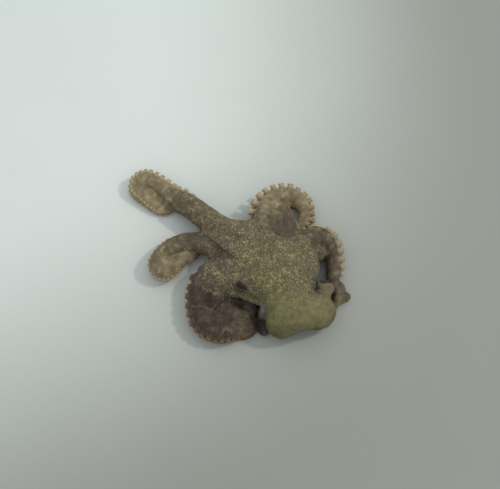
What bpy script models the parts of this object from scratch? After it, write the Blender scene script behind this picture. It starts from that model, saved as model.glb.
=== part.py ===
"""A still, life-size model of a small octopus resting on a floor.

The arms are lofted along curves that are drawn as runs of bends. The head, mantle and crown
are soft forms: simple solids are fused by a voxel remesh, smoothed, thinned and then parted
by narrow gaps, so each named part is a closed solid of its own. Metres, +Z up; the lengths
below are millimetres. The arms spread from a crown in the middle, and the head and mantle
lie towards -Y, right of the middle.
"""

import math

import bmesh
import bpy
import numpy as np
from mathutils import Matrix, Vector

# ---------------------------------------------------------------- driving dimensions
MM = 0.001
MODEL_NAME = "octopus"
PLAN_SHIFT = (2.2, -1.7)  # moves the middle of the posed animal onto the origin
GAP = 0.32  # room between two parts that meet
ARM_ROOM = 0.45  # room left round a free arm where it passes the web or the head
STEP = 0.5  # spacing of the samples along an arm's curve
ROOM_STEP = 2.6  # spacing of the rings of the plain shape that makes room for an arm
CROWN = (12.0, -4.0)  # where the eight arms come together, in plan
CROWN_RING = 5.0  # radius of the ring on which the arms begin
REACH_DOWN = 34.0  # arm length over which an arm comes down from the crown to the floor
SUCKER_PITCH = 1.15  # spacing of one row's suckers, in arm radii
SUCKER_ANGLE = 28.0  # how far each row lies to the side of the arm's lower mid-line
SUCKER_REACH = 1.5  # distance of a sucker's rim from the arm's middle, in arm radii
FINEST_SUCKER = 2.1  # below this spacing the suckers are left out of the solids
FLOOR_FLAT = 0.22  # what comes this near the floor is pressed flat on it

# Each arm: its place on the crown ring and first heading in degrees, the side its suckers
# turn to (+1 left, -1 right), how far they turn and over which stretch, its radius at the
# base, how long it stays full before it tapers, the height at which it leaves the crown, its
# bends as (length, turn) and the lengths at which it is divided. The first division is where
# it leaves the web.
ARMS = {
    "arm_left_1": {
        "ring": 138, "heading": 141, "side": -1, "roll": (96, 26, 60), "radius": 4.5, "full": 3.6,
        "rise": 11.5, "divide": [38, 58, 76],
        "bends": [(43, 1), (10, -5), (7, 8), (11, 166), (10, 3), (3, 45), (3.5, 80)],
    },
    "arm_left_2": {
        "ring": 158, "heading": 159, "side": -1, "roll": (60, 18, 40), "radius": 4.4, "full": 3.0,
        "rise": 11.5, "divide": [26, 46],
        "bends": [(26, 5), (8, 34), (11, 40), (4, 48), (5.5, 116), (8, 3), (6, -16), (4, -24)],
    },
    "arm_left_3": {
        "ring": 200, "heading": 180, "side": -1, "roll": (66, 10, 26), "radius": 4.8, "full": 2.4,
        "rise": 11.5, "divide": [37, 54],
        "bends": [(14, 6), (11, 60), (17, 46), (11, 72), (11, 24), (5, 44)],
    },
    "arm_left_4": {
        "ring": 238, "heading": 235, "side": -1, "roll": (84, 8, 20), "radius": 4.3, "full": 2.8,
        "rise": 8.5, "divide": [11, 28],
        "bends": [(14, 27), (1, 3), (10.6, -97), (10.6, -94), (9, -80), (7, -85)],
    },
    "arm_right_4": {
        "ring": 290, "heading": 285, "side": -1, "roll": (40, 8, 26), "radius": 3.7, "full": 1.4,
        "rise": 9.0, "divide": [7, 22],
        "bends": [(10.5, 3), (8, 78), (8, 80), (6, 85), (5, 90)],
    },
    "arm_right_3": {
        "ring": 335, "heading": 335, "side": -1, "roll": (40, 8, 26), "radius": 3.8, "full": 1.4,
        "rise": 9.0, "divide": [6, 22],
        "bends": [(5.5, 12), (9, 104), (9, 104), (8, 90), (6, 95)],
    },
    "arm_right_2": {
        "ring": 30, "heading": 34, "side": 1, "roll": (84, 10, 26), "radius": 4.4, "full": 1.9,
        "rise": 11.5, "divide": [17, 32, 47],
        "bends": [(16.4, -2), (10.6, -107), (11, -25), (2, 0), (6, 45), (6, -80), (6, -130), (4, -90)],
    },
    "arm_right_1": {
        "ring": 80, "heading": 114, "side": 1, "roll": (92, 6, 24), "radius": 4.2, "full": 1.9,
        "rise": 11.5, "divide": [17, 34, 52],
        "bends": [(19, -28), (8, -30), (11, -75), (23, -135), (8, -70), (7, -80), (5, -80)],
    },
}
STRETCH_NAMES = ["base", "middle", "end", "tip"]

# Each web: the two arms it joins, how far it runs along each, how deep its edge is cut in and
# how high it lies over the middle of each arm.
WEBS = [
    ("arm_right_1", "arm_left_1", 15, 36, 0.30, 0.5, 0.5),
    ("arm_left_1", "arm_left_2", 35, 25, 0.06, 0.0, 0.0),
    ("arm_left_2", "arm_left_3", 24, 22, 0.10, 0.0, 0.0),
    ("arm_left_3", "arm_left_4", 35, 10, 0.05, 3.0, 4.5),
    ("arm_left_4", "arm_right_4", 8, 6, 0.10, 1.0, 1.0),
    ("arm_right_4", "arm_right_3", 6, 5, 0.10, 1.0, 1.0),
    ("arm_right_3", "arm_right_2", 5, 14, 0.10, 1.0, 0.0),
    ("arm_right_2", "arm_right_1", 15, 15, 0.10, 0.0, 0.0),
]
WEB_THICKNESS = 2.2

# Rounded masses as (middle, half-sizes, turn in plan, tip downwards), in mm and degrees:
# the crown and its bulges, the head with its two eye mounds and neck, and the mantle's sac.
SOFT_MASSES = [
    ((12.0, -4.5, 11.3), (11.5, 10.5, 6.2), 0, 0),
    ((25.6, -6.6, 11.4), (7.4, 9.8, 4.4), 8, 0),
    ((18.6, 12.6, 6.9), (6.0, 6.2, 2.7), 0, 0),
    ((1.5, -12.5, 10.4), (11.0, 5.6, 4.2), -32, 0),
    ((15.2, -16.0, 14.6), (13.0, 9.6, 6.4), 0, 8),
    ((4.4, -17.4, 13.8), (4.7, 4.5, 4.2), 0, 0),
    ((26.6, -17.6, 13.4), (4.7, 4.5, 4.2), 0, 0),
    ((19.0, -21.6, 13.0), (9.6, 7.4, 6.4), 12, 20),
    ((10.9, -25.0, 8.0), (4.2, 5.4, 4.6), -25, 0),
    ((23.2, -26.4, 11.3), (13.0, 9.6, 7.8), 15, 12),
    ((16.9, -30.4, 7.0), (7.0, 6.7, 7.4), 15, 0),
    ((31.3, -26.2, 7.2), (7.4, 7.0, 7.6), 15, 0),
]
HEAD_CORNER = (-6.5, -15.2)  # the front left corner, in plan, of the room the head takes
HEAD_TURN = 8.3  # turn of the head's front edge in plan, in degrees
NECK_POINT = (18.6, -22.6, 13.0)  # on the plane that parts the mantle from the head
NECK_DIRECTION = (0.04, -0.96, -0.25)
SOFT_TRIANGLES = 2950
EYES = {
    "eye_left": (1.6, -18.2, 14.6),
    "eye_right": (28.7, -18.4, 14.2),
}
EYE_RADIUS = 2.7
FUNNEL_BASE = (33.2, -20.4, 6.2)
FUNNEL_AXIS = (0.20, 0.74, 0.62)
FUNNEL_LENGTH = 8.2
FUNNEL_RADII = (3.3, 2.9)
FUNNEL_WALL = 0.7
FAR = 90.0  # half the size of a cutter that reaches past the whole animal


# ---------------------------------------------------------------- scene and materials
def clear_scene():
    for old in list(bpy.data.objects):
        bpy.data.objects.remove(old, do_unlink=True)


def new_collection(name):
    made = bpy.data.collections.new(name)
    bpy.context.scene.collection.children.link(made)
    return made


def plain_material(name, colour, roughness):
    made = bpy.data.materials.new(name)
    made.use_nodes = True
    shader = made.node_tree.nodes["Principled BSDF"]
    shader.inputs["Base Color"].default_value = (*colour, 1.0)
    shader.inputs["Roughness"].default_value = roughness
    shader.inputs["Metallic"].default_value = 0.0
    return made


def smooth_ramp(value):
    value = min(max(value, 0.0), 1.0)
    return value * value * (3.0 - 2.0 * value)


def unit(vector):
    vector = np.asarray(vector, float)
    return vector / np.linalg.norm(vector)


def placed(point):
    """A point in working millimetres as metres in the model's own frame."""
    return Vector(((point[0] + PLAN_SHIFT[0]) * MM, (point[1] + PLAN_SHIFT[1]) * MM, point[2] * MM))


def new_object(name, mesh_builder, collection):
    mesh = bpy.data.meshes.new(name)
    mesh_builder.to_mesh(mesh)
    mesh_builder.free()
    made = bpy.data.objects.new(name, mesh)
    collection.objects.link(made)
    return made


def finished(made, material):
    made.data.materials.clear()
    made.data.materials.append(material)
    made.data.shade_smooth()
    made.data.set_sharp_from_angle(angle=math.radians(50))
    return made


# ---------------------------------------------------------------- arms
class Arm:
    """The curve, radius and sucker direction of one arm, sampled at equal steps."""

    def __init__(self, plan):
        self.plan = plan
        turns = []
        for length, turn in plan["bends"]:
            count = round(length / STEP)
            turns += [math.radians(turn) / count] * count
        ease = np.hanning(9)[1:-1]
        turns = np.convolve(np.pad(turns, 3, mode="edge"), ease / ease.sum(), mode="valid")
        heading = math.radians(plan["heading"]) + np.concatenate([[0.0], np.cumsum(turns)])
        ring = math.radians(plan["ring"])
        start = np.array(CROWN) + CROWN_RING * np.array([math.cos(ring), math.sin(ring)])
        along = np.column_stack([np.cos(heading), np.sin(heading)])[1:] * STEP
        self.plan_points = np.vstack([start, start + np.cumsum(along, axis=0)])
        self.heading = heading
        self.length = STEP * len(turns)

    def radius(self, s):
        base = self.plan["radius"]
        grown = 0.72 + 0.28 * smooth_ramp((s + 3.0) / 12.0)
        taper = max(1.0 - (max(s, 0.0) / self.length) ** self.plan["full"], 0.0)
        return 0.55 + (base - 0.55) * grown * taper

    def roll(self, s):
        most, start, end = self.plan["roll"]
        return math.radians(most) * smooth_ramp((s - start) / (end - start))

    def height(self, s):
        down = smooth_ramp(s / REACH_DOWN)
        suckers = SUCKER_REACH * math.cos(self.roll(s) - math.radians(SUCKER_ANGLE))
        resting = self.radius(s) * max(1.0, suckers) - 0.1
        return self.plan["rise"] * (1.0 - down) + resting * down

    def frame(self, s):
        """Middle, forward, sucker and side directions at the length s."""
        place = min(max(s / STEP, 0.0), len(self.plan_points) - 1.001)
        low, part = int(place), place - int(place)
        x, y = self.plan_points[low] * (1 - part) + self.plan_points[low + 1] * part
        heading = self.heading[low] * (1 - part) + self.heading[low + 1] * part
        slope = self.height(s + 0.5) - self.height(s - 0.5)
        forward = unit([math.cos(heading), math.sin(heading), slope])
        left = np.array([-math.sin(heading), math.cos(heading), 0.0])
        roll = self.roll(s)
        down = -unit(np.cross(forward, left))
        sucker = math.cos(roll) * down + math.sin(roll) * self.plan["side"] * left
        side = np.cross(forward, sucker)
        return np.array([x, y, self.height(s)]), forward, sucker, side

    def ring(self, s, row, margin=0.0):
        """Seven points round the arm. row is +1 or -1 for a sucker in that row, both, or 0."""
        middle, _, sucker, side = self.frame(s)
        radius = self.radius(s)
        angles = [SUCKER_ANGLE, 78, 128, 180, -128, -78, -SUCKER_ANGLE]
        reaches = [0.93, 1.0, 1.0, 0.97, 1.0, 1.0, 0.93]
        if row in (1, "both"):
            reaches[0] = SUCKER_REACH
        if row in (-1, "both"):
            reaches[-1] = SUCKER_REACH
        points = []
        for angle, reach in zip(angles, reaches):
            turn = math.radians(angle)
            spoke = math.cos(turn) * sucker + math.sin(turn) * side
            point = middle + (radius * reach + margin) * spoke
            if point[2] < FLOOR_FLAT and not margin:
                point[2] = 0.0
            points.append(point)
        return points

    def stations(self, start, end):
        """Lengths and sucker rows of the rings between start and end.

        Each sucker is two rings long, so its top is flat, and the two rows take turns.
        """
        found = [(start, 0)]
        s, row = start + 0.2, 1
        while True:
            pitch = SUCKER_PITCH * self.radius(s)
            step = pitch / 2 if pitch > FINEST_SUCKER else 1.9
            if s + 1.3 * step > end:
                break
            if pitch > FINEST_SUCKER:
                found += [(s + 0.16 * step, row), (s + 0.84 * step, row)]
                row = -row
            else:
                found.append((s + step, 0))
            s += step
        found.append((end, 0))
        return found


def arm_mesh(arm, start, end):
    """The loft of one stretch of an arm, closed by a flat face at each end."""
    return lofted([arm.ring(s, row) for s, row in arm.stations(start, end)])


def arm_room(arm, start, end, margin):
    """A plain loft that holds a stretch of an arm and its suckers with a margin all round."""
    stations = np.linspace(start, end, max(3, round((end - start) / ROOM_STEP)))
    return lofted([arm.ring(s, "both", margin) for s in stations])


def lofted(sections):
    """A closed loft through rings with the same number of points."""
    built = bmesh.new()
    rings = [[built.verts.new(placed(point)) for point in section] for section in sections]
    count = len(rings[0])
    for first, second in zip(rings, rings[1:]):
        for i in range(count):
            j = (i + 1) % count
            built.faces.new([first[i], second[i], second[j], first[j]])
    built.faces.new(rings[0])
    built.faces.new(reversed(rings[-1]))
    bmesh.ops.recalc_face_normals(built, faces=built.faces)
    bmesh.ops.triangulate(built, faces=built.faces)
    return built


# ---------------------------------------------------------------- soft masses
def ellipsoid(middle, half_sizes, turn, tip):
    built = bmesh.new()
    bmesh.ops.create_uvsphere(built, u_segments=32, v_segments=20, radius=MM)
    shape = Matrix.Diagonal((*half_sizes, 1.0))
    tilt = Matrix.Rotation(math.radians(tip), 4, "X")
    spin = Matrix.Rotation(math.radians(turn), 4, "Z")
    built.transform(Matrix.Translation(placed(middle)) @ spin @ tilt @ shape)
    return built


def web_sheet(first, second, reach_first, reach_second, dip, lift_first, lift_second):
    """A sheet ruled between two arms, its free edge cut in by dip at the middle."""
    built = bmesh.new()
    across, along = 12, 18
    bmesh.ops.create_grid(built, x_segments=across, y_segments=along, size=1.0)
    for vertex in built.verts:
        t = (vertex.co.x + 1) / 2
        u = (vertex.co.y + 1) / 2
        u *= 1.0 - dip * 4 * t * (1 - t)
        start = first.frame(reach_first * u)[0]
        end = second.frame(reach_second * u)[0]
        point = start * (1 - t) + end * t
        point[2] += (lift_first * (1 - t) + lift_second * t) * smooth_ramp(2 * u)
        vertex.co = placed(point)
    bmesh.ops.recalc_face_normals(built, faces=built.faces)
    bmesh.ops.solidify(built, geom=built.faces[:], thickness=WEB_THICKNESS * MM)
    return built


def joined(pieces, name, collection):
    built = bmesh.new()
    for piece in pieces:
        mesh = bpy.data.meshes.new("piece")
        piece.to_mesh(mesh)
        piece.free()
        built.from_mesh(mesh)
        bpy.data.meshes.remove(mesh)
    return new_object(name, built, collection)


def applied(made):
    """Replaces an object's mesh by what its modifiers make of it."""
    graph = bpy.context.evaluated_depsgraph_get()
    mesh = bpy.data.meshes.new_from_object(made.evaluated_get(graph))
    old = made.data
    made.modifiers.clear()
    made.data = mesh
    bpy.data.meshes.remove(old)
    return made


def fused(made, voxel, smoothing, triangles):
    """One smooth closed skin round everything in the object, thinned to a triangle count."""
    remesh = made.modifiers.new("Fuse", "REMESH")
    remesh.mode = "VOXEL"
    remesh.voxel_size = voxel * MM
    soften = made.modifiers.new("Soften", "SMOOTH")
    soften.factor = 0.5
    soften.iterations = smoothing
    applied(made)
    thin = made.modifiers.new("Thin", "DECIMATE")
    thin.ratio = min(1.0, triangles / (2 * len(made.data.polygons)))
    applied(made)
    return made


def guide(made, collection):
    """Marks an object as a cutter, which takes no part in the finished model."""
    for user in list(made.users_collection):
        user.objects.unlink(made)
    collection.objects.link(made)
    made.hide_render = True
    made.display_type = "WIRE"
    return made


def cut(made, cutter, operation="DIFFERENCE"):
    boolean = made.modifiers.new("Cut", "BOOLEAN")
    boolean.operation = operation
    boolean.solver = "EXACT"
    boolean.object = cutter
    return applied(made)


def box_cutter(name, middle, half_sizes, rotation, collection):
    built = bmesh.new()
    bmesh.ops.create_cube(built, size=2.0)
    shape = Matrix.Diagonal((*[size * MM for size in half_sizes], 1.0))
    built.transform(Matrix.Translation(placed(middle)) @ rotation.to_4x4() @ shape)
    return guide(new_object(name, built, collection), collection)


def facing(direction):
    """The rotation that turns +Z to a direction."""
    return Vector(direction).normalized().to_track_quat("Z", "Y").to_matrix()


# ---------------------------------------------------------------- the parts
def make_soft_mass(arms, parts, cutters):
    """Arm roots, webs, crown, head and mantle fused as one, with room for each free arm."""
    pieces = [arm_mesh(arm, 0.0, arm.plan["divide"][0] + 0.8) for arm in arms.values()]
    for first, second, *measures in WEBS:
        pieces.append(web_sheet(arms[first], arms[second], *measures))
    pieces += [ellipsoid(*mass) for mass in SOFT_MASSES]
    mass = fused(joined(pieces, "soft_mass", parts), 0.8, 6, SOFT_TRIANGLES)
    for name, arm in arms.items():
        start = arm.plan["divide"][0]
        room = new_object(f"room_{name}", arm_room(arm, start, arm.length, ARM_ROOM), cutters)
        cut(mass, guide(room, cutters))
    floor = box_cutter("trim_floor", (0, 0, -FAR), (FAR, FAR, FAR), Matrix.Identity(3), cutters)
    return cut(mass, floor)


def part_soft_mass(mass, parts, cutters, material):
    """Parts the fused mass into web, head and mantle, with a gap along each plane."""
    turn = Matrix.Rotation(math.radians(HEAD_TURN), 3, "Z")
    corner = Vector((*HEAD_CORNER, 0.0))
    inward = turn @ Vector((1.0, -1.0, 0.0))
    size = (FAR, FAR, FAR)
    spare = GAP / 2
    head_room = box_cutter("head_room", corner + inward * (FAR + spare), size, turn, cutters)
    web_cutter = box_cutter("web_cutter", corner + inward * (FAR - spare), size, turn, cutters)
    neck = Vector(NECK_POINT)
    away = Vector(NECK_DIRECTION).normalized()
    tilt = facing(NECK_DIRECTION)
    mantle_side = box_cutter("mantle_side", neck + away * (FAR + spare), size, tilt, cutters)
    head_end = box_cutter("head_end", neck + away * (FAR - spare), size, tilt, cutters)
    steps = {
        "web": [(web_cutter, "DIFFERENCE")],
        "head": [(head_room, "INTERSECT"), (head_end, "DIFFERENCE")],
        "mantle": [(head_room, "INTERSECT"), (mantle_side, "INTERSECT")],
    }
    for name, cuts in steps.items():
        made = bpy.data.objects.new(name, mass.data.copy())
        parts.objects.link(made)
        for cutter, operation in cuts:
            cut(made, cutter, operation)
        finished(made, material)
    bpy.data.objects.remove(mass, do_unlink=True)


def make_eyes(parts, cutters, material):
    """Eyeballs, each in a socket that is cut with room round it."""
    head = bpy.data.objects["head"]
    for name, middle in EYES.items():
        for label, radius, keep in ((name, EYE_RADIUS, True), ("socket", EYE_RADIUS + GAP, False)):
            built = bmesh.new()
            bmesh.ops.create_uvsphere(built, u_segments=12, v_segments=7, radius=radius * MM)
            built.transform(Matrix.Translation(placed(middle)))
            if keep:
                finished(new_object(label, built, parts), material)
            else:
                cut(head, guide(new_object(f"{label}_{name}", built, cutters), cutters))


def turned(name, profile, base, axis, collection):
    """A solid turned about an axis from a profile of (radius, height) that starts and ends on it."""
    built = bmesh.new()
    points = [built.verts.new((x * MM, 0, z * MM)) for x, z in profile]
    for first, second in zip(points, points[1:]):
        built.edges.new((first, second))
    bmesh.ops.spin(
        built, geom=built.verts[:] + built.edges[:], cent=(0, 0, 0), axis=(0, 0, 1),
        angle=2 * math.pi, steps=14, use_merge=True,
    )
    bmesh.ops.remove_doubles(built, verts=built.verts, dist=0.00001)
    bmesh.ops.recalc_face_normals(built, faces=built.faces)
    built.transform(Matrix.Translation(placed(base)) @ facing(axis).to_4x4())
    return new_object(name, built, collection)


def make_funnel(parts, cutters, material):
    """A short tapering tube, blind at the base and open at the tip, with room cut in its neighbours."""
    base, tip = FUNNEL_RADII
    bore = tip - FUNNEL_WALL
    profile = [(0, 0), (base, 0), (tip, FUNNEL_LENGTH), (bore, FUNNEL_LENGTH)]
    profile += [(bore, FUNNEL_LENGTH * 0.45), (0, FUNNEL_LENGTH * 0.4)]
    finished(turned("funnel", profile, FUNNEL_BASE, FUNNEL_AXIS, parts), material)
    room = [(0, -GAP), (base + GAP, -GAP), (tip + GAP, FUNNEL_LENGTH + 1), (0, FUNNEL_LENGTH + 1)]
    cutter = guide(turned("funnel_room", room, FUNNEL_BASE, FUNNEL_AXIS, cutters), cutters)
    for neighbour in ("head", "mantle"):
        cut(bpy.data.objects[neighbour], cutter)


def main():
    clear_scene()
    parts = new_collection(MODEL_NAME)
    cutters = new_collection("cutters")
    skin = plain_material("skin", (0.150, 0.130, 0.075), 0.55)
    eye_dark = plain_material("eye_dark", (0.02, 0.022, 0.028), 0.12)

    arms = {name: Arm(plan) for name, plan in ARMS.items()}
    mass = make_soft_mass(arms, parts, cutters)
    part_soft_mass(mass, parts, cutters, skin)
    make_eyes(parts, cutters, eye_dark)
    make_funnel(parts, cutters, skin)

    for name, arm in arms.items():
        edges = [*arm.plan["divide"], arm.length]
        for stretch, start, end in zip(STRETCH_NAMES, edges, edges[1:]):
            made = new_object(f"{name}_{stretch}", arm_mesh(arm, start + GAP, end), parts)
            finished(made, skin)


main()
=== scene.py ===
"""A young octopus at rest on a pale floor, dressed over its fixed frame.

The flesh is one skin with its grain, folds, lids and funnel worked into the mesh. The
suckers and the eyes are pieces of their own. Lengths are millimetres until they're placed.
"""

import itertools
import math
import random

import bmesh
import bpy
import numpy as np
from mathutils import Matrix, Vector
from mathutils.kdtree import KDTree


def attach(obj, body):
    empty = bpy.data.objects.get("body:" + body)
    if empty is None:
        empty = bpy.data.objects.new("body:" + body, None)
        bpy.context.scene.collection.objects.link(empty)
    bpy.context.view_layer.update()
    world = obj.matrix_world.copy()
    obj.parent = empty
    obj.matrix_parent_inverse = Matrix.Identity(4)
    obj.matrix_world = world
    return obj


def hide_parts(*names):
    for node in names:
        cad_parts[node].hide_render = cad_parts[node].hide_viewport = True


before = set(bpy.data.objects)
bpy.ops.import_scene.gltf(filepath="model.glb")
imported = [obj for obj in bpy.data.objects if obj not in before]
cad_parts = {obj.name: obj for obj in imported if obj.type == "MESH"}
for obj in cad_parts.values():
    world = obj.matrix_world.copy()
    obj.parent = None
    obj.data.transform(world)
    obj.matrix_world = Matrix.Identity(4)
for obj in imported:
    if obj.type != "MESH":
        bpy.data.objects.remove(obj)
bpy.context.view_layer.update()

# ---------------------------------------------------------------- the arms' muscle
# Each arm is a tapering rod of solid muscle that grows from the crown, comes down to the
# floor and curls on it. It's drawn as runs of bends from the crown to the tip, and it rolls
# about itself as it goes, so that its suckers turn from downwards to one side.
COURSE_STEP = 0.5  # spacing of the samples along an arm
BEND_EASE = 3  # samples on either side over which a bend is eased in
CROWN = (12.0, -4.0)  # where the eight arms come together, in plan
CROWN_RING = 5.0  # radius of the ring on which the arms begin
REACH_DOWN = 34.0  # arm length over which an arm comes down to the floor
ROOT_SLIMNESS = 0.72  # an arm's girth inside the crown, as a share of its girth just outside
ROOT_SWELL = (-3.0, 9.0)  # the lengths between which it fills out
SETTLE = 0.1  # how far an arm's weight presses it down
SUCKER_ANGLE = 28.0  # how far each row of suckers lies to the side of the arm's lower middle
SUCKER_REACH = 1.38  # distance of a sucker's rim from the arm's middle, in arm radii
TIP_RADIUS = 0.5
# For each arm: its place on the crown's ring and its heading, in degrees; the side that its
# suckers roll to; how far they roll, and the lengths between which they do; its radius, and how
# long it stays full; its height at the crown; the length that is webbed; and its bends, each a
# length and a turn. An arm that rolls back gives the share, and the lengths between.
ARMS = {
    "arm_left_1": {
        "ring": 138, "heading": 141, "side": -1, "roll": (96, 26, 60), "radius": 5.2, "full": 3.6,
        "rise": 11.5, "web": 38,
        "bends": [(44.2, 1), (10, -5), (7, 6), (9.8, 172), (10, 2), (5, 60), (5, 110), (4, 60)],
    },
    "arm_left_2": {
        "ring": 158, "heading": 160, "side": -1, "roll": (60, 18, 40), "radius": 4.4, "full": 7.0,
        "rise": 11.5, "web": 26,
        "bends": [(26, 5), (8, 34), (11, 42), (3.4, 50), (5, 116), (8, -6), (6, -8), (5, 0)],
    },
    "arm_left_3": {
        "ring": 200, "heading": 180, "side": -1, "roll": (66, 15, 30), "radius": 4.8, "full": 3.2,
        "rise": 11.5, "web": 37,
        "bends": [(14, 6), (11, 60), (16.5, 46), (11, 72), (12, 30), (8, 80), (5, 60)],
    },
    "arm_left_4": {
        "ring": 238, "heading": 235, "side": -1, "roll": (84, 8, 20), "radius": 4.1, "full": 2.8,
        "rise": 4.8, "web": 11,
        "bends": [(14, 27), (1, 3), (10.6, -97), (10.6, -94), (9, -80), (7, -85)],
    },
    "arm_right_4": {
        "ring": 290, "heading": 285, "side": -1, "roll": (40, 8, 26), "radius": 3.7, "full": 1.4,
        "rise": 9.0, "web": 7,
        "bends": [(10.5, 3), (8, 78), (8, 80), (6, 85), (5, 90)],
    },
    "arm_right_3": {
        "ring": 335, "heading": 335, "side": -1, "roll": (40, 8, 26), "radius": 3.8, "full": 1.4,
        "rise": 9.0, "web": 6,
        "bends": [(5.5, 12), (9, 104), (9, 104), (8, 90), (6, 95)],
    },
    "arm_right_2": {
        "ring": 30, "heading": 34, "side": 1, "roll": (84, 10, 26), "radius": 4.4, "full": 2.2,
        "rise": 11.5, "web": 17, "turn_back": (0.85, 33, 41),
        "bends": [
            (16.4, -2), (10.6, -107), (11, -25), (2, 0), (6, 45), (6, -80), (6, -130), (4, -90),
        ],
    },
    "arm_right_1": {
        "ring": 80, "heading": 113, "side": 1, "roll": (92, 6, 24), "radius": 4.2, "full": 2.4,
        "rise": 11.5, "web": 17,
        "bends": [(19, -28), (8, -30), (10.5, -75), (21, -135), (8, -70), (7, -80), (5, -80)],
    },
}


def smooth_step(value, low=0.0, high=1.0):
    share = np.clip((np.asarray(value, float) - low) / (high - low), 0.0, 1.0)
    return share * share * (3.0 - 2.0 * share)


def blend(first, second, share):
    return first * (1 - share) + second * share


def unit(vectors):
    return vectors / np.maximum(np.linalg.norm(vectors, axis=-1, keepdims=True), 1e-9)


class ArmCourse:
    """One arm sampled at equal steps: middles, directions and radii, and values between them."""

    def __init__(self, plan):
        turns = []
        for length, turn in plan["bends"]:
            count = round(length / COURSE_STEP)
            turns += [math.radians(turn) / count] * count
        ease = np.hanning(2 * BEND_EASE + 3)[1:-1]
        turns = np.pad(turns, BEND_EASE, mode="edge")
        turns = np.convolve(turns, ease / ease.sum(), mode="valid")
        heading = math.radians(plan["heading"]) + np.concatenate([[0.0], np.cumsum(turns)])
        ring = math.radians(plan["ring"])
        start = np.array(CROWN) + CROWN_RING * np.array([math.cos(ring), math.sin(ring)])
        steps = np.column_stack([np.cos(heading), np.sin(heading)])[1:] * COURSE_STEP
        self.lengths = COURSE_STEP * np.arange(len(turns) + 1)
        self.length = self.lengths[-1]
        self.plan = plan
        base = plan["radius"] - TIP_RADIUS
        grown = ROOT_SLIMNESS + (1.0 - ROOT_SLIMNESS) * smooth_step(self.lengths, *ROOT_SWELL)
        taper = 1.0 - (self.lengths / self.length) ** plan["full"]
        self.radius = TIP_RADIUS + base * grown * taper
        most, roll_start, roll_end = plan["roll"]
        self.roll = math.radians(most) * smooth_step(self.lengths, roll_start, roll_end)
        share, back_start, back_end = plan.get("turn_back", (0.0, 0.0, 1.0))
        self.roll *= 1.0 - share * smooth_step(self.lengths, back_start, back_end)
        # An arm lies on its lower suckers, or on its own flesh where they face sideways.
        down = smooth_step(self.lengths, 0.0, REACH_DOWN)
        lowest = SUCKER_REACH * np.cos(self.roll - math.radians(SUCKER_ANGLE))
        resting = self.radius * np.maximum(1.0, lowest) - SETTLE
        height = plan["rise"] * (1.0 - down) + resting * down
        plan_points = np.vstack([start, start + np.cumsum(steps, axis=0)])
        self.middle = np.column_stack([plan_points, height])
        slope = np.gradient(height, COURSE_STEP)
        self.forward = unit(np.column_stack([np.cos(heading), np.sin(heading), slope]))
        left = np.column_stack([-np.sin(heading), np.cos(heading), np.zeros(len(heading))])
        under = -unit(np.cross(self.forward, left))
        turn = self.roll[:, None]
        self.sucker = np.cos(turn) * under + np.sin(turn) * plan["side"] * left
        self.side = np.cross(self.forward, self.sucker)

    def at(self, values, where):
        """One of the sampled rows of values, read at any length along the arm."""
        if values.ndim == 1:
            return float(np.interp(where, self.lengths, values))
        return np.array([np.interp(where, self.lengths, column) for column in values.T])


courses = {name: ArmCourse(plan) for name, plan in ARMS.items()}


# ---------------------------------------------------------------- the skin's rough form
# The flesh under the skin: arms, the webs stretched between them, the crown they hang from,
# the head with its eye mounds and neck, the mantle's sac and the funnel. They're closed
# shapes laid over each other, and one fine net of faces is then drawn tight round them all.
MM = 0.001  # in metres
PLAN_SHIFT = np.array([2.2, -1.7, 0.0])  # moves the middle of the posed animal onto the origin
ARM_SIDES = 30  # corners of an arm's cross-section
ORAL_FLAT = 0.06  # how much an arm is flattened on the side that carries the suckers
ORAL_GROOVE = 0.05  # depth of the furrow between the two rows
GROOVE_ANGLE = 0.24  # half its width, in radians round the arm
WEBS = [  # the arms joined, the reach along each, dip of the edge, lift over each, thickness
    ("arm_right_1", "arm_left_1", 17, 38, 0.26, 0.5, 0.5, 2.2),
    ("arm_left_1", "arm_left_2", 35, 25, 0.06, 0.0, 0.0, 2.2),
    ("arm_left_2", "arm_left_3", 24, 22, 0.10, 0.0, 0.0, 2.2),
    ("arm_left_3", "arm_left_4", 35, 10, 0.05, 3.0, 7.4, 2.6),
    ("arm_left_4", "arm_right_4", 8, 6, 0.10, 3.0, 1.0, 2.2),
    ("arm_right_4", "arm_right_3", 6, 5, 0.10, 1.0, 1.0, 2.2),
    ("arm_right_3", "arm_right_2", 5, 14, 0.10, 1.0, 0.0, 2.2),
    ("arm_right_2", "arm_right_1", 15, 15, 0.10, 0.0, 0.0, 2.2),
]
MASSES = [  # rounded masses as (middle, half-sizes, turn in plan, tip downwards)
    ((12.0, -4.5, 11.3), (11.5, 10.5, 6.2)),  # the crown, where the arms meet
    ((25.6, -6.6, 11.4), (7.6, 10.2, 4.4), 8),
    ((14.0, 12.4, 6.0), (7.0, 8.6, 3.6)),  # its slope down to the first right arm
    ((16.8, 17.6, 4.4), (5.6, 5.2, 3.6)),
    ((20.5, 8.0, 6.4), (7.0, 6.0, 3.6)),
    ((32.6, 2.6, 5.6), (4.6, 6.2, 3.4)),  # the root of the second right arm
    ((1.5, -12.5, 10.4), (11.0, 5.6, 4.2), -32),  # the left flank
    ((15.2, -16.0, 14.6), (13.4, 9.8, 6.6), 0, 8),  # the head
    ((4.4, -17.4, 13.8), (4.9, 4.7, 4.4)),  # the eyes' mounds
    ((26.6, -17.6, 13.4), (4.9, 4.7, 4.4)),
    ((19.4, -21.8, 13.0), (9.8, 7.4, 6.6), 12, 20),  # the neck
    ((23.4, -26.4, 11.3), (13.0, 9.8, 8.0), 15, 12),  # the mantle's sac and its two lower lobes
    ((17.2, -30.6, 7.0), (7.2, 7.0, 7.6), 15),
    ((31.5, -26.3, 7.2), (7.8, 7.4, 7.8), 15),
]
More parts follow.
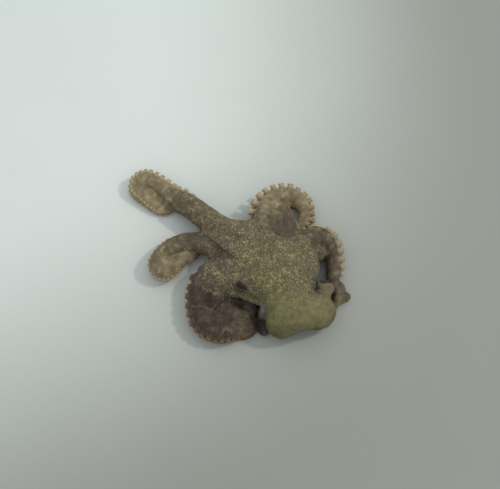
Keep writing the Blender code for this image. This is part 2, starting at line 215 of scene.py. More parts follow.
CLOSE_MASSES = [  # masses that meet the soft body in a crease, most of them inside coiled arms
    ((-6.5, -26.6, 2.0), (11.5, 10.0, 6.7), -10),  # inside the third left arm's coil
    ((0.5, -29.5, 1.8), (7.3, 6.3, 5.8)),
    ((-6.5, -20.3, 2.0), (10.5, 7.8, 7.0), -15),
    ((-38.2, 32.4, 3.0), (2.7, 5.0, 4.2), 49),  # inside the first left arm's roll
    ((-33.6, 28.4, 2.6), (2.4, 6.0, 3.8), 49),
    ((-22.5, 2.2, 3.0), (5.0, 2.6, 3.2), -8),  # inside the second left arm's curl
    ((18.4, 12.6, 6.6), (6.2, 7.2, 4.6)),  # the disc at the root of the first right arm
    ((16.0, 23.6, 2.4), (4.8, 3.6, 3.9)),  # inside that arm's loop
    ((18.8, 23.2, 2.0), (5.6, 2.8, 3.5), -45),
    ((19.6, 26.7, 2.6), (3.0, 1.5, 2.8), -20),
    # The next mass fills the gap between the coil and the mantle, and painted shade darkens it.
    ((9.8, -29.6, 1.6), (2.8, 4.8, 2.8)),  # between the coil and the mantle
    ((-8.8, -18.4, 5.0), (7.4, 5.0, 5.5), -28),  # where the coil meets the left flank
    ((9.8, -26.0, 5.9), (2.4, 3.8, 4.4), -12),  # above the coil, against the mantle
    ((41.2, -14.8, 1.5), (2.8, 5.4, 2.5), 8),  # the second right arm's spread tip
    ((42.6, -17.0, 1.1), (3.3, 2.2, 1.9), 15),
    ((39.2, -17.6, 1.1), (3.0, 2.6, 1.9), -15),
    ((35.3, -16.0, 7.6), (3.3, 3.0, 3.0)),  # under the funnel
]
FLANK = [  # the fold of skin below the left eye, as (x, y, height, radius)
    (-9.6, -14.4, 8.6, 1.2), (-6.6, -16.6, 9.8, 1.5), (-2.6, -19.0, 10.6, 1.8),
    (1.8, -20.4, 11.0, 1.9), (6.2, -22.2, 11.0, 2.0), (10.4, -23.6, 10.8, 2.2),
    (13.0, -24.4, 10.5, 2.4),
]
FUNNEL_BASE = (33.2, -20.4, 6.2)
FUNNEL_AXIS = (0.20, 0.74, 0.62)
FUNNEL_LENGTH = 8.2
FUNNEL_RADII = (3.5, 2.75)  # at the base and at the lip
FUNNEL_WALL = 0.8
FUNNEL_SIDES = 28
ROLL_SIDES, ROLL_RINGS = 16, 40
ROLLED_TIP = (-37.0, 30.5)
ROLLED_FLAT = 0.32  # the share of its height that the rolled tip loses
CORE_MESH = 0.7  # size of the faces of the net over the soft body
CORE_SOFTNESS, CORE_ROUNDS = 0.5, 36  # how strongly and how often that net is relaxed
SKIN_MESH = 0.18  # size of the faces of the skin's net


def placed(points):
    """Working millimetres as metres in the frame's own place."""
    return (np.asarray(points, float) + PLAN_SHIFT) * MM


def bell(distance, width):
    """Falls from 1 at no distance towards 0 past the width."""
    return np.exp(-((distance / width) ** 2))


def angles_round(sides):
    return 2 * math.pi * np.arange(sides) / sides


def spokes(angle, first, second):
    """Unit directions at these angles, from the first direction round towards the second."""
    return np.cos(angle)[:, None] * first + np.sin(angle)[:, None] * second


def mesh_of(built, name):
    mesh = bpy.data.meshes.new(name)
    built.to_mesh(mesh)
    built.free()
    return mesh


def loft(built, rings):
    """Skins a run of rings with the same number of points and closes both ends."""
    made = [[built.verts.new(point) for point in placed(ring)] for ring in rings]
    sides = len(made[0])
    for near, far in zip(made, made[1:]):
        for i in range(sides):
            j = (i + 1) % sides
            built.faces.new([near[i], near[j], far[j], far[i]])
    built.faces.new(reversed(made[0]))
    built.faces.new(made[-1])


def add_arm(built, course, start, end):
    """The stretch of an arm's muscle between two lengths."""
    angle = angles_round(ARM_SIDES)
    from_oral = np.minimum(angle, 2 * math.pi - angle)
    reach = 1.0 - ORAL_FLAT * (np.cos(from_oral) > 0) * np.cos(from_oral)
    reach -= ORAL_GROOVE * bell(from_oral, GROOVE_ANGLE)
    rings = []
    for length, middle, sucker, side, radius in zip(
        course.lengths, course.middle, course.sucker, course.side, course.radius
    ):
        if not start <= length <= end:
            continue
        ring = middle + radius * reach[:, None] * spokes(angle, sucker, side)
        ring[:, 2] = np.maximum(ring[:, 2], 0.0)
        rings.append(ring)
    loft(built, rings)


def add_web(built, first, second, reach_first, reach_second, dip, lift_first, lift_second, thick):
    """The sheet of skin between two arms, whose outer edge dips in towards the crown."""
    sheet = bmesh.new()
    bmesh.ops.create_grid(sheet, x_segments=24, y_segments=40, size=1.0)
    for vertex in sheet.verts:
        over = (vertex.co.x + 1) / 2
        out = (vertex.co.y + 1) / 2 * (1.0 - dip * 4 * over * (1 - over))
        start = first.at(first.middle, reach_first * out)
        end = second.at(second.middle, reach_second * out)
        point = blend(start, end, over)
        point[2] += blend(lift_first, lift_second, over) * float(smooth_step(2 * out))
        vertex.co = placed(point)
    bmesh.ops.recalc_face_normals(sheet, faces=sheet.faces)
    bmesh.ops.solidify(sheet, geom=sheet.faces[:], thickness=thick * MM)
    mesh = mesh_of(sheet, "web_sheet")
    built.from_mesh(mesh)
    bpy.data.meshes.remove(mesh)


def add_mass(built, middle, half_sizes, turn=0, tip=0):
    """A rounded mass of flesh, tipped and then turned in plan, in degrees."""
    shape = Matrix.Diagonal((*half_sizes, 1.0))
    tilt = Matrix.Rotation(math.radians(tip), 4, "X")
    spin = Matrix.Rotation(math.radians(turn), 4, "Z")
    place = Matrix.Translation(placed(middle)) @ spin @ tilt @ shape
    bmesh.ops.create_icosphere(built, subdivisions=5, radius=MM, matrix=place)


def add_roll(built, stops):
    """A round roll of flesh through stops of (x, y, height, radius)."""
    stops = np.array(stops, float)
    strides = np.linalg.norm(np.diff(stops[:, :3], axis=0), axis=1)
    travel = np.concatenate([[0.0], np.cumsum(strides)])
    fine = np.linspace(0.0, travel[-1], ROLL_RINGS)
    course = np.column_stack([np.interp(fine, travel, column) for column in stops.T])
    forward = unit(np.gradient(course[:, :3], axis=0))
    rings = []
    for (x, y, z, radius), ahead in zip(course, forward):
        across = unit(np.cross(ahead, [0.0, 0.0, 1.0]))
        round_it = spokes(angles_round(ROLL_SIDES), across, np.cross(across, ahead))
        rings.append(np.array([x, y, z]) + radius * round_it)
    loft(built, rings)


def add_funnel(built):
    """A short fleshy tube, blind at the base, with a rolled lip at its open end."""
    base, tip = FUNNEL_RADII
    bore = tip - FUNNEL_WALL
    profile = [  # radius, and share of the length
        (0.05, 0.0), (base * 0.9, 0.0), (base, 0.25), (base * 0.98, 0.5), (tip * 1.1, 0.75),
        (tip * 1.02, 0.9), (tip, 0.96), (tip - FUNNEL_WALL * 0.4, 1.0), (bore, 0.96),
        (bore * 0.94, 0.75), (bore * 0.9, 0.35), (0.05, 0.3),
    ]
    axis = Vector(FUNNEL_AXIS).normalized()
    turn = np.array(axis.to_track_quat("Z", "Y").to_matrix())
    angle = angles_round(FUNNEL_SIDES)
    rings = []
    for radius, share in profile:
        height = np.full(FUNNEL_SIDES, share * FUNNEL_LENGTH)
        flat = np.column_stack([radius * np.cos(angle), radius * np.sin(angle), height])
        rings.append(flat @ turn.T + np.array(FUNNEL_BASE))
    loft(built, rings)


def pressed(points):
    """The first left arm's rolled tip settles flatter on the floor than it's wide."""
    away = np.linalg.norm(points[:, :2] - np.array(ROLLED_TIP), axis=1)
    flat = 1.0 - ROLLED_FLAT * (1.0 - smooth_step(away, 8.5, 16.0))
    return points * np.column_stack([np.ones(len(points)), np.ones(len(points)), flat])


def set_out(name, data):
    """A new object with this mesh, camera or lamp, in the scene."""
    made = bpy.data.objects.new(name, data)
    bpy.context.scene.collection.objects.link(made)
    return made


def net_over(built, name, size):
    """One fine net of equal faces drawn tight round everything that is built."""
    bmesh.ops.recalc_face_normals(built, faces=built.faces)
    rough = mesh_of(built, name)
    made = set_out(name, rough)
    net = made.modifiers.new("Net", "REMESH")
    net.mode = "VOXEL"
    net.voxel_size = size * MM
    graph = bpy.context.evaluated_depsgraph_get()
    made.data = bpy.data.meshes.new_from_object(made.evaluated_get(graph))
    made.modifiers.clear()
    bpy.data.meshes.remove(rough)
    return made


def read_rows(items, key, width, kind=float):
    """One value of every item, such as each point's place, as an array of rows."""
    flat = np.empty(len(items) * width, kind)
    items.foreach_get(key, flat)
    return flat.reshape(-1, width)


def read_points(mesh):
    return read_rows(mesh.vertices, "co", 3) / MM - PLAN_SHIFT


def write_points(mesh, points):
    mesh.vertices.foreach_set("co", placed(points).ravel())
    mesh.update()


def relaxed(mesh, strength, rounds):
    """The mesh's points, each drawn towards the mean of its neighbours by its own strength."""
    points, edges = read_points(mesh), read_rows(mesh.edges, "vertices", 2, np.int32)
    count = len(points)
    near, far = edges[:, 0], edges[:, 1]
    degree = np.bincount(edges.ravel(), minlength=count)[:, None]
    for _ in range(rounds):
        total = np.column_stack([
            np.bincount(near, weights=points[far, axis], minlength=count)
            + np.bincount(far, weights=points[near, axis], minlength=count)
            for axis in range(3)
        ])
        points = points + strength * (total / degree - points)
    return points


# The soft body is blended first, on a coarse net, so crown, head and mantle run into each
# other and the webs run into the arms' roots.
core = bmesh.new()
for course in courses.values():
    add_arm(core, course, 0.0, course.plan["web"] + 2.0)
for first, second, *measures in WEBS:
    add_web(core, courses[first], courses[second], *measures)
for mass in MASSES:
    add_mass(core, *mass)
body = net_over(core, "body", CORE_MESH)
write_points(body.data, relaxed(body.data, CORE_SOFTNESS, CORE_ROUNDS))

flesh = bmesh.new()
flesh.from_mesh(body.data)
bpy.data.objects.remove(body, do_unlink=True)
for course in courses.values():
    add_arm(flesh, course, max(course.plan["web"] - 12.0, 0.0), course.length)
for mass in CLOSE_MASSES:
    add_mass(flesh, *mass)
add_roll(flesh, FLANK)
add_funnel(flesh)
skin = net_over(flesh, "skin", SKIN_MESH)


# ---------------------------------------------------------------- the skin's drawn form
# The fine net is relaxed, so webs flow into arms and the head into the mantle with no seam.
# Slack skin is relaxed the most. Muscle stays firm, and the thin arm tips are relaxed least.
SKIN_ROUNDS = 34  # how often the skin's net is relaxed
SLACK_SKIN = 0.55  # how strongly it's relaxed between the arms and over the body
STOUT_ARM = 0.75  # the share of that on a stout arm, which falls to none on a thin tip


def read_normals(mesh):
    return read_rows(mesh.vertex_normals, "vector", 3)


def tree_of(places):
    tree = KDTree(len(places))
    for number, place in enumerate(places):
        tree.insert(place, number)
    tree.balance()
    return tree


def on_all_arms(key):
    """What the courses hold under one name, arm after arm."""
    return np.concatenate([getattr(course, key) for course in courses.values()])


points = read_points(skin.data)

# Which arm each point belongs to: the sample nearest to it, allowing for the arm's thickness.
arm_names = list(courses)
all_middles, all_radii = on_all_arms("middle"), on_all_arms("radius")
all_numbers = np.repeat(range(len(courses)), [len(course.lengths) for course in courses.values()])
course_tree = tree_of(all_middles)
nearest = np.empty(len(points), int)
for index, point in enumerate(points):
    beside_it = course_tree.find_n(point, 6)
    nearest[index] = min((away - all_radii[sample], sample) for _, sample, away in beside_it)[1]
arm_number = all_numbers[nearest]
arm_length = on_all_arms("lengths")[nearest]
arm_radius = all_radii[nearest]
arm_offset = np.linalg.norm(points - all_middles[nearest], axis=1) - arm_radius
web_end = np.array([ARMS[name]["web"] for name in arm_names], float)[arm_number]
free_arm = smooth_step(arm_length - web_end, -9.0, 2.0) * (1.0 - smooth_step(arm_offset, 1.2, 3.0))

stoutness = smooth_step(arm_radius, 0.6, 2.6)
softness = SLACK_SKIN * (1.0 - free_arm * (1.0 - STOUT_ARM * stoutness))
points = pressed(relaxed(skin.data, softness[:, None], SKIN_ROUNDS))
all_middles = pressed(all_middles)
write_points(skin.data, points)
normals = read_normals(skin.data)


# ---------------------------------------------------------------- the eyelids
# Each eye is sunk in a mound at the side of the head. The skin closes over the globe as two
# thick lids with a raised rim, and they leave an almond-shaped opening.
EYES = {  # middle, the way it looks, the way its opening runs
    "eye_left": ((1.6, -18.2, 14.6), (-0.46, -0.42, 0.78), (0.80, -0.60, 0.05)),
    "eye_right": ((28.7, -18.4, 14.2), (0.78, -0.02, 0.62), (0.10, -1.0, 0.05)),
}
EYE_RADIUS = 2.7
EYE_OPENING = (2.65, 0.7)  # half length and half height of the opening between the lids
LID_THICKNESS = 0.35
LID_RIM = 0.22  # how far the rim of a lid stands up
LID_RIM_PLACE, LID_RIM_WIDTH = 0.55, 0.5  # from the opening's edge
LID_RIM_REACH = 3.2  # where it runs out, either way along the opening
# Painted shade darkens the lids round each opening, and spreads as far as the next width.
LID_SHADE_WIDTH = 1.15  # how far the dark line round the opening spreads
EYE_SINK = 0.9  # how deep the skin is tucked behind the globe inside the opening


def eye_axes(looks, runs):
    out = unit(np.array(looks, float))
    along = np.array(runs, float)
    along = unit(along - along @ out * out)
    return out, along, np.cross(out, along)


def eye_place(points, middle, looks, runs):
    """For each point: the ray and the distance from the eye's middle, how far it lies along the
    opening and beyond its edge, and how far it counts as in front of the eye and as round it."""
    out, along, across = eye_axes(looks, runs)
    offset = points - np.array(middle)
    distance = np.linalg.norm(offset, axis=1)
    ray = offset / np.maximum(distance, 1e-6)[:, None]
    lengthways, crossways = ray @ along * EYE_RADIUS, ray @ across * EYE_RADIUS
    half_length, half_height = EYE_OPENING
    edge = np.abs(crossways) - half_height * (1.0 - (lengthways / half_length) ** 2)
    close = 1.0 - smooth_step(distance, 5.5, 8.0)
    near = smooth_step(ray @ out, 0.1, 0.7) * close
    wide = smooth_step(ray @ out, -0.45, 0.05) * close
    return ray, distance, lengthways, edge, near, wide


# painted shade in the crease round each eye's opening
eye_painted_shade = np.zeros(len(points))
for middle, looks, runs in EYES.values():
    ray, distance, lengthways, edge, near, wide = eye_place(points, middle, looks, runs)
    rim = LID_RIM * bell(edge - LID_RIM_PLACE, LID_RIM_WIDTH)
    rim *= np.exp(-((lengthways / LID_RIM_REACH) ** 4))
    closed = smooth_step(edge, -0.18, 0.22)
    target = EYE_RADIUS - EYE_SINK + closed * (EYE_SINK + LID_THICKNESS + rim)
    push = target - distance
    points = points + (push * np.where(push > 0.0, wide, near))[:, None] * ray
    eye_painted_shade = np.maximum(eye_painted_shade, near * bell(np.maximum(edge, 0.0), LID_SHADE_WIDTH))


# ---------------------------------------------------------------- the skin's folds and creases
# Slack skin gathers between the arms. A long fold runs between the first two left arms with
# its upper side lying over the lower one, and thin pale creases cross the arms' roots and
# the coiled arm.
FOLD = [(-17.0, 9.4), (-13.8, 6.2), (-10.8, 3.4), (-7.4, 0.1), (-3.2, -4.1)]
FOLD_LIFT = 0.55  # how far its upper side stands above its lower one
FLANK_EDGE = [  # the lower edge of the flank, which overhangs the coiled arm
    (-11.0, -14.6), (-8.7, -16.6), (-6.6, -18.2), (-2.6, -20.6), (1.8, -22.1), (6.2, -24.0),
    (10.0, -25.2),
]
CREASES = [
    [(5.0, 16.6), (5.9, 14.0), (7.9, 11.9), (10.6, 10.2), (11.9, 9.3)],
    [(-14.7, 9.7), (-13.8, 6.6), (-14.2, 4.4), (-13.7, 2.2), (-14.5, -0.7)],
    [(-15.4, -16.4), (-13.3, -18.4), (-12.2, -18.4), (-11.4, -19.2), (-8.8, -19.7)],
    [(-19.3, -24.0), (-17.6, -24.9), (-15.9, -24.4), (-13.0, -24.9), (-10.8, -25.5), (-9.6, -27.4)],
    [(-10.6, -24.6), (-8.8, -22.6), (-6.2, -21.4)],
    [(-8.2, -36.9), (-6.7, -35.5), (-6.1, -33.6), (-4.4, -33.9), (-3.4, -34.6)],
    [(-2.6, -28.3), (-0.6, -29.2), (1.6, -29.5)],
    [(-40.6, 32.9), (-39.9, 32.5), (-39.5, 31.6)],
    [(-36.5, 30.8), (-36.1, 30.0), (-36.3, 29.2)],
    [(-35.6, 24.8), (-34.2, 25.0), (-32.9, 24.4)],
]
GROOVES = [  # shallow furrows between the turns of the coiled arms
    [(-10.7, -26.9), (-9.3, -23.2), (-4.9, -21.4), (-0.5, -22.8), (3.9, -25.9), (6.5, -30.1)],
    [(-8.2, -26.4), (-5.6, -28.6), (-3.1, -30.7), (0.2, -32.0), (3.2, -32.0)],
    [(30.2, 8.0), (27.0, 6.0), (24.0, 6.2), (21.0, 5.2)],
    [(12.6, 17.8), (12.0, 14.6), (12.4, 11.0), (14.0, 7.6), (17.0, 5.2), (20.4, 4.8)],
    [(-28.8, 23.2), (-30.4, 25.6), (-32.4, 27.4), (-35.4, 30.2), (-38.0, 33.2), (-40.2, 34.4)],
]
GROOVE_WIDTH = 0.5
GROOVE_DEPTH = 0.28
MOUTH = (12.0, -4.0)  # under the crown, a pit ringed with a pleated lip
MOUTH_RADIUS = 2.0
MOUTH_LIP = 0.55
MOUTH_PLEATS = 18
MOUTH_DEPTH = 1.3
CREASE_WIDTH = 0.2
CREASE_LIFT = 0.08
RIPPLES, RIPPLE_LIFT = 14, 0.018  # long faint waves that keep the skin from lying too even


def beside(points, path):
    """Distance in plan to a path of straight lines, positive on its left."""
    best = np.full(len(points), 99.0)
    side = np.ones(len(points))
    for start, end in zip(np.array(path), np.array(path)[1:]):
        run = end - start
        gap = points[:, :2] - start
        along = np.clip(gap @ run / (run @ run), 0.0, 1.0)
        distance = np.linalg.norm(gap - along[:, None] * run, axis=1)
        closer = distance < best
        best[closer] = distance[closer]
        side[closer] = np.sign(run[0] * gap[closer, 1] - run[1] * gap[closer, 0])
    return best * side


def lines_along(paths, width):
    """Rises to 1 along each path, on skin that faces up."""
    return np.maximum.reduce([bell(beside(points, path), width) for path in paths]) * facing_up


facing_up = smooth_step(normals[:, 2], 0.1, 0.5)
fold = beside(points, FOLD)
fold_near = bell(fold, 3.0) * facing_up
fold_shade = bell(np.minimum(fold, 0.0), 2.2) * (fold < 0.3) * facing_up
lift = FOLD_LIFT * (smooth_step(fold, -0.35, 0.25) - 0.5) * fold_near
flank = beside(points, FLANK_EDGE)
under_flank = (1.0 - smooth_step(flank, -1.2, 0.2)) * (points[:, 2] < 9.6) * (points[:, 0] < 11.0)
under_flank *= smooth_step(points[:, 0], -12.0, -5.0)
recess_shade = under_flank * bell(np.minimum(flank, 0.0), 3.2)
recess_shade *= smooth_step(points[:, 0], -8.0, -1.0)
crease = lines_along(CREASES, CREASE_WIDTH)
lift += CREASE_LIFT * crease
groove = lines_along(GROOVES, GROOVE_WIDTH)
lift -= GROOVE_DEPTH * groove
from_mouth = np.linalg.norm(points[:, :2] - np.array(MOUTH), axis=1)
mouth_zone = (points[:, 2] < 8.5) * smooth_step(-normals[:, 2], 0.2, 0.7) * (from_mouth < 6.0)
mouth_lip = bell(from_mouth - MOUTH_RADIUS, 0.45) * mouth_zone
mouth_pit = smooth_step(MOUTH_RADIUS - from_mouth, 0.2, 1.1) * mouth_zone
round_mouth = np.arctan2(points[:, 1] - MOUTH[1], points[:, 0] - MOUTH[0])
pleats = 1.0 + 0.25 * np.cos(MOUTH_PLEATS * round_mouth)
lift += MOUTH_LIP * pleats * mouth_lip - MOUTH_DEPTH * mouth_pit
slack = np.random.default_rng(4)
for _ in range(RIPPLES):
    heading, length = slack.uniform(0, math.pi), slack.uniform(2.6, 6.5)
    push = points @ np.array([math.cos(heading), math.sin(heading), slack.uniform(-0.4, 0.4)])
    ripple = np.sin(2 * math.pi * push / length + slack.uniform(0, 6.28))
    lift += RIPPLE_LIFT * length / 4 * ripple
points += lift[:, None] * normals
write_points(skin.data, points)
normals = read_normals(skin.data)


# ---------------------------------------------------------------- the skin's grain
# The skin is set with low blunt grains, packed like rice over the crown and head and drawn
# out along the webs and arms. They shrink to a fine velvet on the mantle and the arm tips,
# and the suckered side of an arm is smooth.
GRAIN_SEED = 11
BODY_GRAIN, MANTLE_GRAIN, ARM_GRAIN = (0.72, 0.15), (0.7, 0.05), (0.8, 0.09)  # size, height
GRAIN_SPACING = 0.86  # least gap between two grains, in their sizes
GRAIN_SPREAD = 0.62  # how far a grain's foot reaches, in its size
GRAIN_NEIGHBOURS = 6
CELL = 1.8  # side of the boxes that sort the grains by place, wider than any gap
WANDER_WAVES, WANDER = 12, 0.045  # the grains' outlines are made uneven by short waves
GRAIN_LAY = [  # (x, y, direction in degrees, stretch) of the grains over the body
    (-14, 12, -42, 2.0), (-8, 0, -42, 2.1), (0, 4, -45, 1.9), (-8, -10, -40, 2.5),
    (0, -14, -48, 2.6), (4, -6, -50, 2.2), (12, -6, -62, 1.7), (20, -4, 75, 1.8),
    (10, 8, -70, 1.7), (22, 4, 60, 1.7), (26, -12, 80, 1.7), (12, -18, -60, 1.6),
    (20, -18, 85, 1.5), (16, -28, 60, 1.0), (30, -26, 20, 1.0),
]
ARM_STRETCH, MANTLE_STRETCH = 1.5, 1.05
NECK = np.array([18.6, -22.6, 13.0])  # where the mantle begins
NECK_AXIS = np.array([0.04, -0.96, -0.25])  # and the way it lies from there
LOOP, LOOP_SIZE = (17.6, 24.5), (4.5, 4.0)  # where the first right arm loops over its own root
DISC, DISC_SIZE = (18.4, 12.0), (6.4, 8.0)  # the smoother umber disc between it and the crown

beyond_neck = (points - NECK) @ NECK_AXIS
head_side = smooth_step(points[:, 2], 5.0, 9.0) * smooth_step(points[:, 0], -6.0, 6.0)
head_side *= (1.0 - smooth_step(points[:, 1], -4.0, 9.0)) * (1.0 - under_flank)
mantle_zone = smooth_step(beyond_neck, -5.0, 6.0) * smooth_step(points[:, 0], 8.0, 11.5)
on_arm = smooth_step(arm_length - web_end, -14.0, 0.0) * (1.0 - smooth_step(arm_offset, 1.0, 3.0))
on_arm *= 1.0 - mantle_zone
loop_gap = np.linalg.norm((points[:, :2] - LOOP) / LOOP_SIZE, axis=1)
on_arm = np.maximum(on_arm, bell(loop_gap, 1.0))
course_forward = on_all_arms("forward")[nearest]
course_sucker = on_all_arms("sucker")[nearest]
from_middle = unit(points - all_middles[nearest])
oral_zone = smooth_step(np.sum(from_middle * course_sucker, axis=1), 0.15, 0.75)
oral_zone *= 1.0 - smooth_step(arm_offset, 0.6, 2.0)
oral_zone = np.maximum(oral_zone, smooth_step(-normals[:, 2], 0.3, 0.8) * (1.0 - mantle_zone))

# The lay between the places listed: the angles are doubled, so that opposite ways are one.
twice = np.zeros((len(points), 2))
lay_stretch = np.zeros(len(points))
lay_weight = np.zeros(len(points))
for x, y, direction, stretch in GRAIN_LAY:
    weight = 1.0 / ((points[:, 0] - x) ** 2 + (points[:, 1] - y) ** 2 + 4.0) ** 1.5
    turn = math.radians(2 * direction)
    twice += weight[:, None] * np.array([math.cos(turn), math.sin(turn)])
    lay_stretch += weight * stretch
    lay_weight += weight
lay_turn = np.arctan2(twice[:, 1], twice[:, 0]) / 2
lay = np.column_stack([np.cos(lay_turn), np.sin(lay_turn), np.zeros(len(points))])
lay_stretch /= lay_weight
agree = np.sign(np.sum(lay * course_forward, axis=1))[:, None]
lay = blend(lay, course_forward * agree, on_arm[:, None])
lay = unit(lay - np.sum(lay * normals, axis=1)[:, None] * normals)
lay_stretch = blend(blend(lay_stretch, ARM_STRETCH, on_arm), MANTLE_STRETCH, mantle_zone)

funnel_axis = unit(np.array(FUNNEL_AXIS))
funnel_gap = points - np.array(FUNNEL_BASE)
funnel_along = funnel_gap @ funnel_axis
funnel_away = np.linalg.norm(funnel_gap - funnel_along[:, None] * funnel_axis, axis=1)
funnel_zone = smooth_step(funnel_along, 2.0, 4.0) * (1.0 - smooth_step(funnel_away, 3.9, 4.8))

disc_gap = np.linalg.norm((points[:, :2] - DISC) / DISC_SIZE, axis=1)
disc_zone = 1.0 - smooth_step(disc_gap, 0.6, 1.25)

arm_grain = np.minimum(ARM_GRAIN[0], 0.42 + 0.1 * arm_radius)
arm_height = np.minimum(ARM_GRAIN[1], 0.025 * arm_radius)
grain_size = blend(blend(BODY_GRAIN[0], MANTLE_GRAIN[0], mantle_zone), arm_grain, on_arm)
grain_height = blend(blend(BODY_GRAIN[1], MANTLE_GRAIN[1], mantle_zone), arm_height, on_arm)
grain_height *= (1.0 - 0.9 * oral_zone) * (1.0 - 0.9 * funnel_zone)


def crowded(cell, place, along_it, size, long_size):
    """Whether a grain laid here would overlap one that lies there already."""
    x, y, z = place
    dx, dy, dz = along_it
    for step in itertools.product((-1, 0, 1), repeat=3):
        for ox, oy, oz in cells.get(tuple(map(sum, zip(cell, step))), ()):
            px, py, pz = x - ox, y - oy, z - oz
            along = px * dx + py * dy + pz * dz
            across = px * px + py * py + pz * pz - along * along
            if across / size**2 + (along / long_size) ** 2 < 1.0:
                return True
    return False


cells = {}
seeds = []
for index in np.random.default_rng(GRAIN_SEED).permutation(len(points))[: len(points) // 3]:
    size = grain_size[index] * GRAIN_SPACING
    cell = tuple(int(value // CELL) for value in points[index])
    if not crowded(cell, points[index], lay[index], size, size * lay_stretch[index]):
        cells.setdefault(cell, []).append(tuple(points[index]))
        seeds.append(index)
seeds = np.array(seeds)

grain_tree = tree_of(points[seeds])
found = np.empty((len(points), GRAIN_NEIGHBOURS), int)
for index, point in enumerate(points):
    found[index] = [number for _, number, _ in grain_tree.find_n(point, GRAIN_NEIGHBOURS)]
wander = np.random.default_rng(GRAIN_SEED + 3)
uneven = np.zeros((len(points), 3))
for _ in range(WANDER_WAVES):
    run = unit(wander.normal(size=3)) * 2 * math.pi / wander.uniform(0.7, 1.6)
    wave = WANDER * np.sin(points @ run + wander.uniform(0, 6.28))
    uneven += wave[:, None] * unit(wander.normal(size=3))
gap = points[:, None, :] + uneven[:, None, :] - points[seeds][found]
along = np.sum(gap * lay[seeds][found], axis=2)
across = np.maximum(np.sum(gap * gap, axis=2) - along**2, 0.0)
plump = np.random.default_rng(GRAIN_SEED + 2).uniform(0.72, 1.22, len(seeds))
size = grain_size[seeds][found] * GRAIN_SPREAD * plump[found]
reach = np.sqrt(across / size**2 + (along / (size * lay_stretch[seeds][found])) ** 2)
chosen = np.argmin(reach, axis=1)
rows = np.arange(len(points))
grain = np.sqrt(np.clip(1.0 - reach[rows, chosen] ** 2, 0.0, 1.0))
grain_tone = np.random.default_rng(GRAIN_SEED + 1).random(len(seeds))[found[rows, chosen]]
grain *= (1.0 - 0.7 * funnel_zone) * (1.0 - 0.12 * on_arm) * (1.0 - 0.2 * disc_zone)
in_bore = funnel_away < FUNNEL_RADII[1] - 0.5 * FUNNEL_WALL
funnel_bore = in_bore * smooth_step(funnel_along, 1.5, 3.0)
lid_clear = np.ones(len(points))
for middle, looks, runs in EYES.values():
    away = np.linalg.norm(points - np.array(middle), axis=1)
    lid_clear *= 1.0 - 0.8 * bell(np.maximum(away - 2.6, 0.0), 1.4)
lift = (grain - 0.35) * grain_height * (0.6 + 0.8 * grain_tone) * lid_clear
points += lift[:, None] * normals
points[:, 2] = np.maximum(points[:, 2], 0.0)
write_points(skin.data, points)


# ---------------------------------------------------------------- the skin's colours
# Living skin is a ground of dark pigment cells with pale cells over the tops of the grains. Olive
# lies over the head and mantle, umber over the lower left arms, and the ends of the arms are
# pale and a little clear. Shade is painted as darker colour into the hollows, under the flank
# and under the mantle.
SPOTS = {  # places that take a colour, as (x, y, height, radius, share)
    "umber": [
        (39.5, 0.0, 7.0, 4.5, 0.8), (-7.4, -4.8, 10.0, 5.2, 1.3), (12.0, -1.0, 17.0, 5.0, 0.35),
        (-36.5, 30.5, 6.0, 5.5, 0.25), (-14.5, -13.5, 7.5, 5.5, 0.8),
        (-6.0, -25.0, 7.0, 9.0, 1.0), (-18.0, 6.0, 8.0, 6.0, 0.5),
    ],
    "pale": [(-28.0, 0.4, 6.0, 1.7, 0.8), (32.4, -18.0, 8.0, 2.8, 0.8)],
    "gold": [
        (6.2, -5.5, 16.0, 6.0, 1.0), (18.5, -5.5, 16.0, 6.0, 1.0), (12.0, -16.0, 20.0, 8.0, 0.7),
        (-32.0, -2.0, 5.0, 4.5, 1.4),
    ],
    # painted shade under the mantle, between it and the coil, and in the middle of the coil
    "gloom": [
        (14.9, -35.0, 8.0, 3.0, 0.8), (36.0, -27.4, 8.5, 3.2, 0.7), (30.0, -33.6, 4.0, 4.0, 0.8),
        (9.4, -31.2, 4.0, 4.6, 1.0), (6.0, -25.0, 5.0, 3.4, 0.9), (-3.4, -30.1, 8.0, 1.6, 0.6),
    ],
}


def near_spot(x, y, z, radius, share=1.0):
    return share * bell(np.linalg.norm(points - np.array([x, y, z]), axis=1), radius)


def zone(spots, *others):
    """The strongest of several spots and other shades, at each point."""
    return np.maximum.reduce([*[near_spot(*spot) for spot in SPOTS[spots]], *others])


def arm_zone(name, start, end):
    """Rises from 0 to 1 along one arm between two lengths."""
    mine = (arm_number == arm_names.index(name)) & (arm_offset < 4.0)
    return mine * smooth_step(arm_length, start, end)


umber_and_flank_shade = zone(
    "umber", arm_zone("arm_left_3", 17, 30), arm_zone("arm_left_4", 4, 10), 0.55 * disc_zone,
    0.55 * arm_zone("arm_right_2", 6, 16), 0.5 * arm_zone("arm_right_3", 0, 6),
    0.5 * arm_zone("arm_right_4", 0, 6),
)
# Under the flank's overhang the umber is painted shade. On the arms it is their own dark pigment.
umber_and_flank_shade = np.minimum(np.maximum(umber_and_flank_shade, under_flank), 1.0)
umber_and_flank_shade = np.maximum(umber_and_flank_shade, near_spot(-6.5, -24.0, 0.0, 11.0) * (points[:, 2] < 3.0))
umber_and_flank_shade *= 1.0 - 0.35 * near_spot(1.5, -31.0, 6.0, 6.0)
umber_and_flank_shade *= (1 - mantle_zone) * (1 - head_side * smooth_step(points[:, 2], 9.0, 11.0))
pale_zone = zone(
    "pale", 0.95 * arm_zone("arm_left_1", 40, 62), 0.85 * arm_zone("arm_left_2", 36, 56),
    0.8 * arm_zone("arm_right_1", 8, 24), 0.45 * crease,
)
facing_down = smooth_step(-normals[:, 2], 0.1, 0.5)
